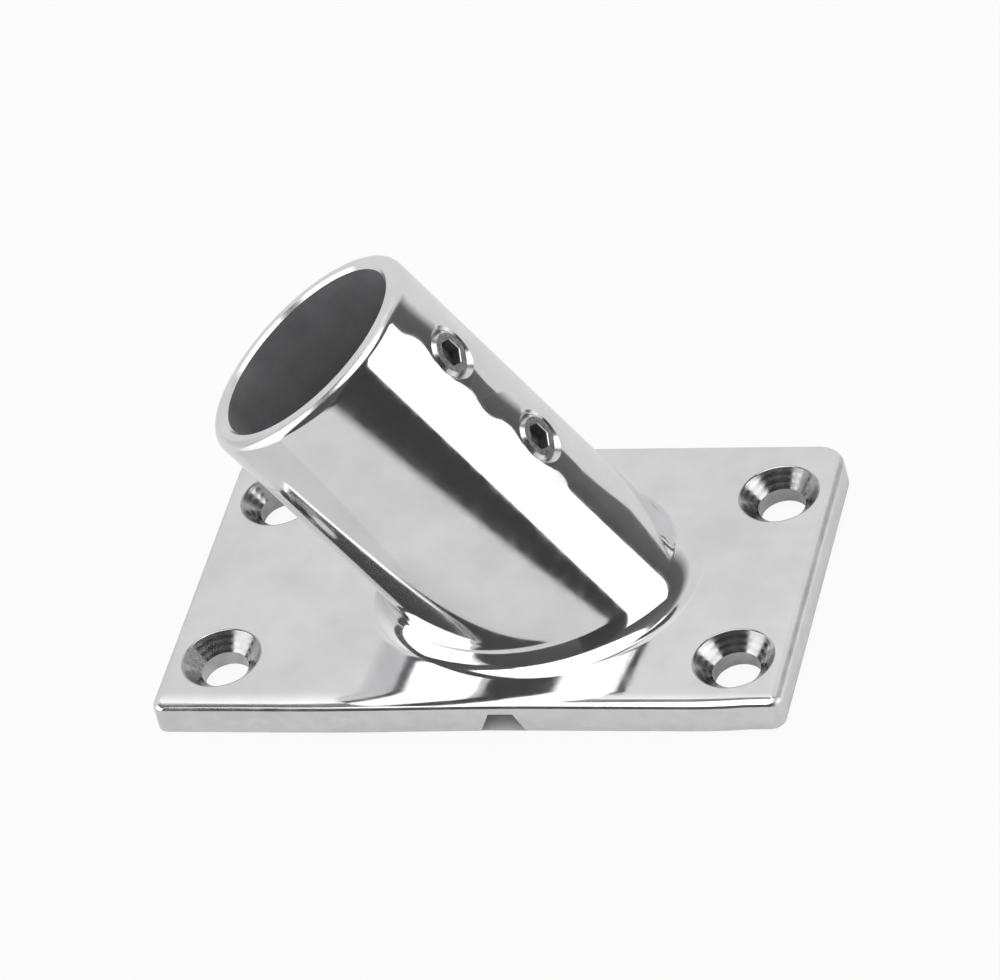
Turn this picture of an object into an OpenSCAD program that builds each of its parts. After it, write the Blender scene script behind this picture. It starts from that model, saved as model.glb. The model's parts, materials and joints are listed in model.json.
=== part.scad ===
// Rail base for a round tube: a cast socket that leans over a rectangular foot plate, with two grub screws.
// The plate's underside lies at z = 0 with its centre at the origin. The socket leans towards -X, and its
// heel is the +X side of its foot.

/* [Plate] */
// Length of the plate, along X
plate_l = 80; // [78:1:110]
// Width of the plate, along Y
plate_w = 47; // [46:1:70]
// Thickness of the plate
plate_t = 4; // [3.5:0.25:6]
// Radius of the plate's four corners, seen from above
plate_corner_r = 3; // [2:0.5:8]
// Radius rolled along the plate's top edge
plate_edge_r = 0.9; // [0.4:0.1:1.5]

/* [Screw holes] */
// Distance between the hole centres along X
hole_pitch_x = 65.7; // [64:0.1:68]
// Distance between the hole centres along Y
hole_pitch_y = 28.8; // [28:0.1:33]
// Diameter of the holes
hole_d = 6; // [4.5:0.1:6.5]
// Diameter of the countersinks at the plate's top
countersink_d = 10; // [8:0.1:11]
// Full angle of the countersinks
countersink_angle = 90; // [82:1:100]
// Radius polished onto the rims of the countersinks
countersink_rim_r = 0.35; // [0.1:0.05:0.6]

/* [Socket] */
// Diameter of the tube that goes into the socket
tube_d = 25.4; // [24:0.1:26]
// Gap between the tube and the socket's bore, on the radius
tube_gap = 0.2; // [0.1:0.05:0.4]
// Wall of the socket
socket_wall = 2.5; // [2:0.1:3]
// Angle between the socket's axis and the plate
lean_angle = 60; // [57:1:65]
// Length of the socket's axis, from the plate's underside to the mouth
socket_l = 48.3; // [46:0.1:70]
// Distance from the plate's centre to the point where the axis meets the underside
axis_x = 8.2; // [6:0.1:10]
// Radius rolled round the outside of the mouth
mouth_r = 1.3; // [0.6:0.1:1.6]
// Chamfer at the inside of the mouth
mouth_chamfer = 0.4; // [0.2:0.1:0.6]

/* [Foot blend] */
// Radius of the blend at the heel, where the socket leans away from the plate
heel_blend_r = 4.5; // [3:0.5:7]
// Radius of the blend at the socket's two sides
side_blend_r = 3; // [2:0.5:7]
// Radius of the blend in the crook under the leaning socket
crook_blend_r = 3; // [2:0.25:4]

/* [Grub screws] */
// Distance along the axis from the mouth down to the upper grub screw
mouth_to_screw = 10; // [9:0.1:12]
// Distance along the axis between the two grub screws
screw_spacing = 15.8; // [15.6:0.1:19]
// Thread diameter of the grub screws
screw_d = 6; // [5:0.5:6.5]
// Length of the grub screws
screw_l = 2.6; // [2.4:0.1:3.2]
// Gap between a grub screw and the wall of its hole, on the radius
thread_gap = 0.05; // [0.02:0.01:0.1]
// Hexagon socket of the grub screws, across flats
hex_af = 3; // [2.5:0.1:3.2]
// Depth of the hexagon socket
hex_depth = 1.6; // [1.2:0.1:1.7]
// Height of the swelling round each grub screw
boss_h = 0.3; // [0.2:0.05:0.8]
// Radius at which the swelling runs out into the socket's wall
boss_r = 7.6; // [6.5:0.1:7.8]
// Chamfer at the mouth of each grub screw's hole
screw_mouth = 0.6; // [0.3:0.1:0.8]

/* [Drain] */
// Distance from the plate's centre to the drain groove
drain_x = 5; // [2:0.5:8]
// Width of the drain groove at the underside
drain_w = 5.8; // [4:0.2:8]
// Width of the drain groove at its roof
drain_roof_w = 3.1; // [2:0.1:3.9]
// Height of the drain groove
drain_h = 2.6; // [1.5:0.1:2.8]

/* [Hidden] */
$fn = 96;
over = 1;                        // how far a cutter runs past the face it cuts
bore_r = tube_d / 2 + tube_gap;
socket_r = bore_r + socket_wall;
upper_screw_s = socket_l - mouth_to_screw;       // places of the grub screws along the socket's axis
lower_screw_s = upper_screw_s - screw_spacing;
axis_dir = [-cos(lean_angle), 0, sin(lean_angle)];
upper_dir = [sin(lean_angle), 0, cos(lean_angle)];
corner_x = plate_l / 2 - plate_corner_r;
corner_y = plate_w / 2 - plate_corner_r;
skin = 0.012;                    // lift of a blended skin over the faces that it runs out on
foot_sides = 96;                 // points round the foot blend
foot_rings = 13;                 // steps from the plate up to the socket
foot_root = 1;                   // how deep the foot blend is rooted in the plate and in the wall
boss_sides = 40;
boss_rings = 9;
boss_top_r = screw_d / 2 + screw_mouth;
boss_root = 0.7;                 // how deep a swelling is rooted in the wall
tip_x = bore_r + 0.05;           // the grub screws' tips stop just short of the bore
screw_chamfer = 0.45;
cup_r = 1.5;                     // hollow in the tip of a grub screw
cup_depth = 0.5;

// Half of the plate's section, from its middle line out to the rounded edge
module edge_section(reach) {
    square([reach, plate_t - plate_edge_r]);
    square([reach - plate_edge_r, plate_t]);
    translate([reach - plate_edge_r, plate_t - plate_edge_r]) circle(r = plate_edge_r);
}

module full_section(reach) {
    edge_section(reach);
    mirror([1, 0]) edge_section(reach);
}

module plate_blank() {
    for (x = [-corner_x, corner_x], y = [-corner_y, corner_y])
        translate([x, y, 0]) rotate_extrude() edge_section(plate_corner_r);
    translate([-corner_x, 0, 0]) rotate([90, 0, 90])
        linear_extrude(2 * corner_x) full_section(plate_w / 2);
    translate([0, corner_y, 0]) rotate([90, 0, 0])
        linear_extrude(2 * corner_y) full_section(plate_l / 2);
}

// Cutter of one screw hole: shank, cone and the polished rim of the cone
module countersunk_hole() {
    half = countersink_angle / 2;
    top_r = countersink_d / 2;
    cone_h = (top_r - hole_d / 2) / tan(half);
    roll = countersink_rim_r * tan((90 - half) / 2);
    translate([0, 0, -over]) cylinder(d = hole_d, h = plate_t + 2 * over);
    translate([0, 0, plate_t - cone_h]) cylinder(r1 = hole_d / 2, r2 = top_r, h = cone_h);
    rotate_extrude() difference() {
        polygon([
            [0, plate_t - roll * cos(half)], [top_r - roll * sin(half), plate_t - roll * cos(half)],
            [top_r + roll, plate_t], [top_r + roll, plate_t + over], [0, plate_t + over]
        ]);
        translate([top_r + roll, plate_t - countersink_rim_r]) circle(r = countersink_rim_r);
    }
}

// Turns what it holds into the socket's own frame: z along the axis, x towards the grub screws
module in_socket() {
    translate([axis_x, 0, 0]) rotate([0, lean_angle - 90, 0]) children();
}

module socket_blank() {
    difference() {
        in_socket() rotate_extrude() {
            translate([0, -socket_r]) square([socket_r, socket_l + socket_r - mouth_r]);
            translate([0, -socket_r]) square([socket_r - mouth_r, socket_l + socket_r]);
            translate([socket_r - mouth_r, socket_l - mouth_r]) circle(r = mouth_r);
        }
        translate([-plate_l, -plate_w, -plate_l]) cube([2 * plate_l, 2 * plate_w, plate_l + plate_t / 2]);
    }
}

// Cutter of the bore, with the chamfer at its mouth
module bore() {
    in_socket() {
        translate([0, 0, -socket_l]) cylinder(r = bore_r, h = 2 * socket_l + over);
        translate([0, 0, socket_l - mouth_chamfer])
            cylinder(r1 = bore_r, r2 = bore_r + mouth_chamfer + over, h = mouth_chamfer + over);
    }
}

// A point on a cylinder about the socket's axis: angle a from its upper side, distance s along it, radius r
function on_socket(a, s, r) =
    [axis_x, 0, 0] + s * axis_dir + r * (cos(a) * upper_dir + [0, sin(a), 0]);

// The blend's radius changes smoothly from the heel (0) over the side (90) to the crook (180)
function blend_r(a) =
    let (ends = (heel_blend_r + crook_blend_r) / 4, side = side_blend_r / 2)
    ends + side + (heel_blend_r - crook_blend_r) / 2 * cos(a) + (ends - side) * cos(2 * a);

// Angle that the blend turns through between the plate and the socket's wall
function blend_turn(a) = acos(cos(a) * cos(lean_angle));

// Length of the wall's normal as seen from above
function plan_reach(a) = norm([cos(a) * sin(lean_angle), sin(a)]);

// Where the socket's wall meets the plate's top
function wall_foot(a) =
    on_socket(a, (plate_t - socket_r * cos(a) * cos(lean_angle)) / sin(lean_angle), socket_r);

// How far the blend runs out on the plate, and how far it climbs along the wall
function run_out(a) = blend_r(a) * tan(blend_turn(a) / 2);
function climb(a) = run_out(a) / sqrt(1 - pow(cos(lean_angle) * sin(a) / plan_reach(a), 2));

function plan_normal(a) = [cos(a) * sin(lean_angle), sin(a), 0] / plan_reach(a);
function wall_normal(a) = cos(a) * upper_dir + [0, sin(a), 0];

// One point of the blend: a cubic curve that leaves the plate and meets the wall along their own directions
function blend_point(a, u) =
    let (
        foot = wall_foot(a),
        low = foot + run_out(a) * plan_normal(a),
        high = foot + climb(a) * axis_dir,
        pull = 4 / 3 * tan(blend_turn(a) / 4) / tan(blend_turn(a) / 2),
        v = 1 - u
    )
    v * v * v * low + 3 * v * v * u * (low + pull * (foot - low))
    + 3 * v * u * u * (high + pull * (foot - high)) + u * u * u * high
    + skin * (v * [0, 0, 1] + u * wall_normal(a));

function root_in_plate(a) =
    let (low = blend_point(a, 0)) [low[0], low[1], plate_t - foot_root];
function root_in_wall(a) =
    blend_point(a, 1) + foot_root * (axis_dir - wall_normal(a));

// A closed skin over rings of points, from the lowest ring to the highest, with a cap at each end
module ringed_solid(rings, low_cap, high_cap) {
    sides = len(rings[0]);
    last = len(rings) - 1;
    points = concat([for (ring = rings) for (p = ring) p], [low_cap, high_cap]);
    low = len(points) - 2;
    high = len(points) - 1;
    walls = [
        for (i = [0:last - 1], j = [0:sides - 1])
            let (k = (j + 1) % sides, p = i * sides + j, q = i * sides + k)
            for (face = [[p, p + sides, q], [q, p + sides, q + sides]]) face
    ];
    caps = [
        for (j = [0:sides - 1])
            let (k = (j + 1) % sides)
            for (face = [[low, j, k], [high, last * sides + k, last * sides + j]]) face
    ];
    polyhedron(points, concat(walls, caps), convexity = 6);
}

module foot_blend() {
    angles = [for (j = [0:foot_sides - 1]) 360 * j / foot_sides];
    rings = concat(
        [[for (a = angles) root_in_plate(a)]],
        [for (i = [0:foot_rings]) [for (a = angles) blend_point(a, i / foot_rings)]],
        [[for (a = angles) root_in_wall(a)]]
    );
    crown = socket_r / tan(lean_angle) + plate_t;
    ringed_solid(rings, [axis_x, 0, plate_t - foot_root], on_socket(0, crown, 0));
}

// Height of the swelling at distance d from the grub screw's axis
function swell(d) =
    d <= boss_top_r ? boss_h : boss_h * (1 + cos(180 * (d - boss_top_r) / (boss_r - boss_top_r))) / 2;

// A point of the swelling in the socket's frame: distance d from the screw's axis in direction b
function swell_point(d, b, r) =
    let (a = d * cos(b) / socket_r * 180 / PI) [r * cos(a), r * sin(a), d * sin(b)];

module swelling(s) {
    turns = [for (j = [0:boss_sides - 1]) 360 * j / boss_sides];
    inner = boss_top_r / 2;
    steps = [for (i = [0:boss_rings]) inner + (boss_r - inner) * i / boss_rings];
    rings = concat(
        [[for (b = turns) swell_point(boss_r, b, socket_r - boss_root)]],
        [for (i = [boss_rings:-1:0])
            [for (b = turns) swell_point(steps[i], b, socket_r + 2 * skin + swell(steps[i]))]]
    );
    in_socket() translate([0, 0, s])
        ringed_solid(rings, [socket_r - boss_root, 0, 0], [socket_r + 2 * skin + boss_h, 0, 0]);
}

// Cutter of one grub screw's hole, with the chamfer at its mouth
module screw_hole(s) {
    hole_r = screw_d / 2 + thread_gap;
    crown = socket_r + boss_h;
    in_socket() translate([0, 0, s]) rotate([0, 90, 0]) {
        cylinder(r = hole_r, h = crown + over);
        translate([0, 0, crown - screw_mouth])
            cylinder(r1 = hole_r, r2 = hole_r + screw_mouth + over, h = screw_mouth + over);
    }
}

module drain_groove() {
    rotate([90, 0, 0]) translate([drain_x, 0, -plate_w / 2 - over]) linear_extrude(plate_w + 2 * over)
        polygon([
            [-drain_w / 2 - over * (drain_w - drain_roof_w) / 2 / drain_h, -over], [-drain_roof_w / 2, drain_h],
            [drain_roof_w / 2, drain_h], [drain_w / 2 + over * (drain_w - drain_roof_w) / 2 / drain_h, -over]
        ]);
}

module flange_casting() {
    color("silver") difference() {
        union() {
            plate_blank();
            socket_blank();
            foot_blend();
            for (s = [lower_screw_s, upper_screw_s]) swelling(s);
        }
        bore();
        for (s = [lower_screw_s, upper_screw_s]) screw_hole(s);
        for (x = [-hole_pitch_x / 2, hole_pitch_x / 2], y = [-hole_pitch_y / 2, hole_pitch_y / 2])
            translate([x, y, 0]) countersunk_hole();
        drain_groove();
    }
}

// A grub screw at distance s along the socket, its tip towards the bore
module grub_screw(s) {
    r = screw_d / 2;
    in_socket() translate([tip_x, 0, s]) rotate([0, 90, 0]) difference() {
        rotate_extrude() polygon([
            [0, cup_depth], [cup_r, 0], [r - screw_chamfer, 0], [r, screw_chamfer],
            [r, screw_l - screw_chamfer], [r - screw_chamfer, screw_l], [0, screw_l]
        ]);
        translate([0, 0, screw_l - hex_depth]) cylinder(r = hex_af / 2 / cos(30), h = hex_depth + over, $fn = 6);
    }
}

module upper_grub_screw() {
    color("gainsboro") grub_screw(upper_screw_s);
}

module lower_grub_screw() {
    color("gainsboro") grub_screw(lower_screw_s);
}

flange_casting();
upper_grub_screw();
lower_grub_screw();
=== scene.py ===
"""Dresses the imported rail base: its polished casting, its two grub screws and the studio round them.

Lengths are in metres. Every piece is made in its place in the frame, and its object stays at the origin.
What the frame knows, such as the bore and the pattern of the plate's screws, comes from its record.
"""

import json
import math

import bmesh
import bpy
from bpy.props import FloatProperty, FloatVectorProperty, IntProperty, PointerProperty
from mathutils import Matrix, Vector


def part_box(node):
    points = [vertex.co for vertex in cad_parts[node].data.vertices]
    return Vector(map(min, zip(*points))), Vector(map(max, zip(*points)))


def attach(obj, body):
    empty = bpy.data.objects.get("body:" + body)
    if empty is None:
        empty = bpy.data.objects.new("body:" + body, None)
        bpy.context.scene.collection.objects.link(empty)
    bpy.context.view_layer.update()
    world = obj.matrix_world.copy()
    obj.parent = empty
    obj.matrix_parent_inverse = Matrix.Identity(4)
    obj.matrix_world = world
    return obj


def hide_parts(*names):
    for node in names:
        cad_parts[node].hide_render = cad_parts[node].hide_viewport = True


bl_info = {
    "name": "Rail Base Builder",
    "version": (1, 0, 0),
    "blender": (4, 5, 0),
    "location": "View3D > Sidebar > Rail Base",
    "description": "Models a polished sixty degree rail base and the studio it stands in",
    "category": "Add Mesh",
}

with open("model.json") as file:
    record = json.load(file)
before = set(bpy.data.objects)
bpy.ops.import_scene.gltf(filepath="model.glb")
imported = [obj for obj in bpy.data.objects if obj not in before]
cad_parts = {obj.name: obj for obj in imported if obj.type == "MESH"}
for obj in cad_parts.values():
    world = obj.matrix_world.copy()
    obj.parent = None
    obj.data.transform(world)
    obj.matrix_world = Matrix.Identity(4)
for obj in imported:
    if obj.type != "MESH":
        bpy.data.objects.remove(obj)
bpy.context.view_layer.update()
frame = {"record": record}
MM = 0.001
FULL_TURN = 2 * math.pi
QUARTER_TURN = math.pi / 2
MOUNTS = {mount["name"]: mount for mount in frame["record"]["mounts"]}
SLOT_COLOURS = {item["slot"]: item["base_color"] for item in frame["record"]["materials"]}
CASTING_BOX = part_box("flange_casting")

# Material slots of the casting and of a grub screw, in order
POLISHED, EDGE, TURNED, CAST, UNDERSIDE = range(5)
BRIGHT, HEXAGON = range(2)

# How far down a row lies is marked from 0 to 1 on the socket's wall, and from 2 to 3 in its bore
UNMARKED, WALL_MARK, BORE_MARK = -1, 0, 2

# What is marked on the vertices while the socket grows: angle round its axis and way down it, and
# distance and direction from the hole that a window is laid out round
MARKS = ("turn", "down", "reach", "bearing")

# Angles between faces from which an edge shows as sharp
SHARP_CASTING = math.radians(35)
SHARP_SCREW = math.radians(25)


def length(name, description, millimetres):
    """A length that the sidebar shows in the scene's unit."""
    return FloatProperty(name=name, description=description, default=millimetres * MM, min=0.0,
                         precision=5, subtype="DISTANCE", unit="LENGTH")


def angle(name, description, degrees):
    """An angle that the sidebar shows in degrees."""
    return FloatProperty(name=name, description=description, default=math.radians(degrees),
                         subtype="ANGLE", unit="ROTATION")


def share(name, description, default, highest=1.0):
    """A plain number, such as a roughness or a light level."""
    return FloatProperty(name=name, description=description, default=default, min=0.0, max=highest)


def colour(name, description, default):
    """A colour in linear light."""
    return FloatVectorProperty(name=name, description=description, default=default, size=3,
                               min=0.0, max=1.0, subtype="COLOR")


def position(name, description, default):
    """A place in metres."""
    return FloatVectorProperty(name=name, description=description, default=default, size=3,
                               precision=5, subtype="TRANSLATION", unit="LENGTH")


def count(name, description, default):
    """A number of faces."""
    return IntProperty(name=name, description=description, default=default, min=3, max=1024)


class PlateSizes(bpy.types.PropertyGroup):
    thickness: length("Thickness", "Thickness of the plate", 4)
    front_corner: length("Front corners", "Radius of the plate's front corners, seen from above", 1.7)
    back_corner: length("Back corners", "Radius of the plate's back corners, seen from above", 3.8)
    side_roll: length("Side roll", "Radius rolled along the top edges of the plate's long sides", 0.5)
    end_roll: length("End roll", "Radius rolled along the top edges of the plate's ends", 0.9)
    soft_width: length("Soft width", "How far in the polish rounds the plate from its long sides", 3.4)
    end_width: length("End soft width", "How far in the polish rounds the plate from its ends", 1.8)
    soft_slope: angle("Soft slope", "How steeply the polished top falls where it meets the edge's roll", 13)
    soft_power: share("Soft power", "Power of the curve by which the polished top falls", 2.5, 10.0)
    grind: length("Grind", "How far the front edge is ground back over its right half", 0.55)
    last_grind: length("Last grind", "How much further it is ground back at its right end", 0.44)
    draft: length("Draft", "How far the front edge leans back at its top", 0.45)
    lower_break: length("Lower break", "Chamfer along the plate's lower edge", 0.15)
    sink_diameter: length("Countersink", "Diameter of the countersinks", 10)
    sink_rim: length("Countersink rim", "Radius polished onto the rims of the countersinks", 0.35)
    least_corner: share("Least corner", "Share of its radius that a corner keeps on the flat top", 0.3)
    corner_steps: count("Corner steps", "Faces round one corner of the plate", 24)
    front_cuts: count("Front cuts", "Cuts along the plate's front edge", 31)
    roll_steps: count("Roll steps", "Rows of faces over the roll of the top edge", 12)
    soft_steps: count("Soft steps", "Rows of faces from the roll in to the flat top", 24)
    rim_steps: count("Rim steps", "Rows of faces over the rim of a countersink", 6)
    hole_steps: count("Hole steps", "Faces round one countersunk hole", 96)


class SocketSizes(bpy.types.PropertyGroup):
    wall: length("Wall", "Wall of the socket", 2.5)
    length: length("Length", "Length of the socket's axis, from the underside to the mouth", 48.3)
    mouth_roll: length("Mouth roll", "Radius rolled round the outside of the mouth", 1.3)
    mouth_chamfer: length("Mouth chamfer", "Chamfer at the inside of the mouth", 0.4)
    turns: count("Faces round", "Faces round the socket", 256)
    lip_rows: count("Lip rows", "Rows of faces over the roll of the mouth", 12)
    wall_rows: count("Wall rows", "Rows of faces down the socket's wall", 96)
    bore_rows: count("Bore rows", "Rows of faces down the bore", 60)


class BlendSizes(bpy.types.PropertyGroup):
    heel: length("Heel", "Blend radius where the socket leans away from the plate", 4.5)
    side: length("Sides", "Blend radius at the socket's two sides", 3)
    crook: length("Crook", "Blend radius under the leaning socket", 3)
    rows: count("Rows", "Rows of faces from the plate up to the socket's wall", 28)


class ScrewSizes(bpy.types.PropertyGroup):
    upper_along: length("Upper screw", "Place of the upper grub screw along the socket's axis", 38.3)
    lower_along: length("Lower screw", "Place of the lower grub screw along the socket's axis", 22.5)
    diameter: length("Diameter", "Thread diameter of the grub screws", 6)
    clearance: length("Clearance", "Gap between a grub screw and its hole, on the radius", 0.05)
    length: length("Length", "Length of the grub screws", 2.6)
    tip_gap: length("Tip gap", "How far a grub screw's tip stops short of the bore", 0.05)
    hexagon: length("Hexagon", "Hexagon socket of the grub screws, across flats", 3)
    hexagon_depth: length("Hexagon depth", "Depth of the hexagon socket", 1.6)
    chamfer: length("Chamfer", "Chamfer at both ends of the grub screws", 0.45)
    cup_radius: length("Cup radius", "Radius of the hollow in a grub screw's tip", 1.5)
    cup_depth: length("Cup depth", "Depth of the hollow in a grub screw's tip", 0.5)
    swelling: length("Swelling", "Height of the swelling round each grub screw", 0.3)
    swelling_reach: length("Swelling reach", "Radius at which the swelling runs out", 7.6)
    hole_chamfer: length("Hole chamfer", "Chamfer at the mouth of each grub screw's hole", 0.6)
    window: length("Window", "Half width of the stretch of wall that is laid out round a hole", 4.7)
    window_rings: count("Window rings", "Rings of faces from that stretch's edge in to the hole", 9)
    steps: count("Faces round", "Faces round a grub screw", 96)


class DrainSizes(bpy.types.PropertyGroup):
    place: length("Place", "Distance from the plate's centre to the drain groove", 5)
    width: length("Width", "Width of the drain groove at the underside", 5.8)
    roof: length("Roof", "Width of the drain groove at its roof", 3.1)
    height: length("Height", "Height of the drain groove", 2.6)


class FinishSettings(bpy.types.PropertyGroup):
    steel: colour("Polished steel", "Colour of the polished steel", SLOT_COLOURS["polished_steel"])
    screw: colour("Screw steel", "Colour of the grub screws", SLOT_COLOURS["screw_steel"])
    cast: colour("Cast skin", "Colour of the skin left by the casting inside the bore", (0.28, 0.28, 0.29))
    # Painted shade: the dark colour stands in for the shade down in the hexagon sockets
    hexagon: colour("Hexagon shade", "Colour down in the hexagon sockets", (0.15, 0.15, 0.155))
    # Painted shade: the share by which the countersinks' steel is darkened
    turned: share("Turned steel", "Brightness of the countersinks, as a share of the polished steel's", 0.62)
    polish: share("Polish", "Roughness of the polished faces", 0.06)
    haze: share("Haze", "Roughness that the haziest places have on top of the polish", 0.05)
    lip_satin: share("Lip satin", "Roughness that the socket's lip has on top of the polish", 0.16)
    end_satin: share("End satin", "Roughness that the plate's ends have on top of that of its sides", 0.25)
    wave: length("Wave", "Height of the waves that hand polishing leaves", 0.012)
    wave_length: length("Wave length", "Distance from one such wave to the next", 7)


class StudioSettings(bpy.types.PropertyGroup):
    floor_radius: length("Floor radius", "Radius of the pale floor", 3000)
    floor_drop: length("Floor drop", "How far the floor lies below the underside", 0.02)
    floor_grey: share("Floor grey", "Level of the pale grey that the floor is painted", 0.86)
    floor_white: share("Floor white", "Share of plain white in the floor as the camera sees it", 0.9)
    floor_gloss: share("Floor in gloss", "Share of plain white in the floor as the metal shows it", 0.2)
    room: share("Room", "Level of the plain studio round the object", 0.8, 4.0)
    lamp: share("Lamp", "Power of the soft overhead lamp, in watts", 0.5, 1000.0)
    lamp_size: length("Lamp size", "Side of the square overhead lamp", 600)
    lamp_place: position("Lamp place", "Place of the overhead lamp, which faces the origin", (-0.15, 0.2, 0.9))


class ViewSettings(bpy.types.PropertyGroup):
    azimuth: angle("Azimuth", "Turn of the camera round the object, from the front", 24.323)
    elevation: angle("Elevation", "Height of the camera above the floor, as an angle", 40.349)
    roll: angle("Roll", "Roll of the camera about its own line of sight", 16.818)
    distance: length("Distance", "Distance from the camera to the point that it looks at", 712.375)
    target: position("Target", "Point that the camera looks at", (-0.0007225, 0.0090326, 0.010034))
    focal_length: FloatProperty(name="Focal length", description="Focal length in millimetres",
                                default=207.09, min=1.0)


class RailBaseSettings(bpy.types.PropertyGroup):
    plate: PointerProperty(type=PlateSizes)
    socket: PointerProperty(type=SocketSizes)
    blend: PointerProperty(type=BlendSizes)
    screws: PointerProperty(type=ScrewSizes)
    drain: PointerProperty(type=DrainSizes)
    finish: PointerProperty(type=FinishSettings)
    studio: PointerProperty(type=StudioSettings)
    view: PointerProperty(type=ViewSettings)


class SocketForm:
    """Places on the leaning socket, by the angle round its axis and the distance along it.

    Angle zero is the socket's upper side, where the grub screws are, and the distance is measured from
    the point where the axis meets the underside.
    """

    def __init__(self, settings):
        bore = MOUNTS["tube_bore"]
        place = Vector(bore["pos_m"])
        self.plate_top = settings.plate.thickness
        self.axis = Vector(bore["axis"]).normalized()
        self.across = Vector((0, 1, 0))
        self.upper = self.across.cross(self.axis)
        self.foot = place - self.axis * (place.z / self.axis.z)
        self.bore_radius = bore["dims"]["r_mm"] * MM
        self.radius = self.bore_radius + settings.socket.wall
        self.mouth = settings.socket.length
        self.wall_top = self.mouth - settings.socket.mouth_roll
        self.bore_top = self.mouth - settings.socket.mouth_chamfer
        self.blend = settings.blend
        screws = settings.screws
        self.screw_places = (screws.lower_along, screws.upper_along)
        self.hole_radius = screws.diameter / 2 + screws.clearance
        self.hole_chamfer = screws.hole_chamfer
        self.crown = self.radius + screws.swelling
        self.swelling_height = screws.swelling
        self.swelling_top = screws.diameter / 2 + screws.hole_chamfer
        self.swelling_reach = screws.swelling_reach

    def place(self, turn, along, radius):
        """The point at an angle, a distance along the axis and a distance from it."""
        return self.foot + self.axis * along + self.outward(turn) * radius

    def outward(self, turn):
        """Direction away from the axis at an angle."""
        return self.upper * math.cos(turn) + self.across * math.sin(turn)

    def turn_of(self, point):
        """The angle round the axis at which a point lies."""
        return math.atan2(point.y, (point - self.foot).dot(self.upper))

    def swelling(self, turn, along):
        """How far the wall swells at a place near one of the grub screws."""
        height = 0.0
        for place in self.screw_places:
            distance = math.hypot(self.radius * turn, along - place)
            if distance <= self.swelling_top:
                height += self.swelling_height
            elif distance < self.swelling_reach:
                run = (distance - self.swelling_top) / (self.swelling_reach - self.swelling_top)
                height += self.swelling_height * (1 + math.cos(math.pi * run)) / 2
        return height

    def wall_meets_plate(self, turn):
        """Distance along the axis at which the bare wall would meet the plate's top."""
        return (self.plate_top - self.radius * math.cos(turn) * self.upper.z) / self.axis.z

    def blend_radius(self, turn):
        """Radius of the foot blend, from the heel over the sides to the crook, which it meets exactly."""
        ends = (self.blend.heel + self.blend.crook) / 4
        side = self.blend.side / 2
        slant = (self.blend.heel - self.blend.crook) / 2
        return ends + side + slant * math.cos(turn) + (ends - side) * math.cos(2 * turn)

    def blend_turn(self, turn):
        """Angle through which the blend turns from the plate to the wall."""
        return math.acos(math.cos(turn) * self.upper.z)

    def run_out(self, turn):
        """How far the blend runs out over the plate."""
        return self.blend_radius(turn) * math.tan(self.blend_turn(turn) / 2)

    def wall_bottom(self, turn):
        """Distance along the axis at which the blend meets the wall."""
        reach = math.hypot(math.cos(turn) * self.axis.z, math.sin(turn))
        slope = self.upper.z * math.sin(turn) / reach
        return self.wall_meets_plate(turn) + self.run_out(turn) / math.sqrt(1 - slope ** 2)

    def wall_point(self, turn, down):
        """A point of the outer wall: down is 0 below the mouth's roll and 1 at the blend."""
        along = self.wall_top + (self.wall_bottom(turn) - self.wall_top) * down
        return self.place(turn, along, self.radius + self.swelling(turn, along))

    def wall_share(self, along):
        """How far down the upper side's wall a distance along the axis lies, from 0 to 1."""
        return (self.wall_top - along) / (self.wall_top - self.wall_bottom(0))

    def blend_point(self, turn, down):
        """A point of the foot blend: down is 0 at the wall and 1 on the plate."""
        foot = self.place(turn, self.wall_meets_plate(turn), self.radius)
        outward = Vector((math.cos(turn) * self.axis.z, math.sin(turn), 0)).normalized()
        low = foot + outward * self.run_out(turn)
        high = self.place(turn, self.wall_bottom(turn), self.radius)
        bend = self.blend_turn(turn)
        pull = 4 / 3 * math.tan(bend / 4) / math.tan(bend / 2)
        up = 1 - down
        return (low * down ** 3 + (low + (foot - low) * pull) * (3 * down ** 2 * up)
                + (high + (foot - high) * pull) * (3 * down * up ** 2) + high * up ** 3)

    def bore_point(self, turn, down):
        """A point of the bore: down is 0 below the mouth's chamfer and 1 at the underside."""
        bottom = -self.bore_radius * math.cos(turn) * self.upper.z / self.axis.z
        return self.place(turn, self.bore_top + (bottom - self.bore_top) * down, self.bore_radius)

    def bore_share(self, along):
        """How far down the upper side of the bore a distance along the axis lies, from 0 to 1."""
        bottom = -self.bore_radius * self.upper.z / self.axis.z
        return (self.bore_top - along) / (self.bore_top - bottom)

    def wall_over(self, across, along):
        """The point of the swollen wall at a distance across the middle plane, found in a few rounds."""
        radius = self.radius
        for _ in range(4):
            turn = math.asin(across / radius)
            radius = self.radius + self.swelling(turn, along)
        return self.place(turn, along, radius)

    def chamfer_reach(self, bearing):
        """Distance from a hole's axis to the edge of its chamfer in one direction, found in a few rounds."""
        reach = self.hole_radius + self.hole_chamfer
        for _ in range(8):
            height = math.sqrt(self.crown ** 2 - (reach * math.cos(bearing)) ** 2)
            reach = self.hole_radius + self.hole_chamfer + height - self.crown
        return reach

    def about_screw(self, screw_along, bearing, reach, height):
        """A point about a grub screw's axis, at a height over the socket's axis."""
        return (self.foot + self.axis * (screw_along + reach * math.sin(bearing))
                + self.across * (reach * math.cos(bearing)) + self.upper * height)


def new_piece(name, bm, materials):
    """A mesh object at the origin that holds the bmesh, with its materials in order."""
    mesh = bpy.data.meshes.new(name)
    bm.to_mesh(mesh)
    bm.free()
    for material in materials:
        mesh.materials.append(material)
    piece = bpy.data.objects.new(name, mesh)
    bpy.context.scene.collection.objects.link(piece)
    return piece


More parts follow.
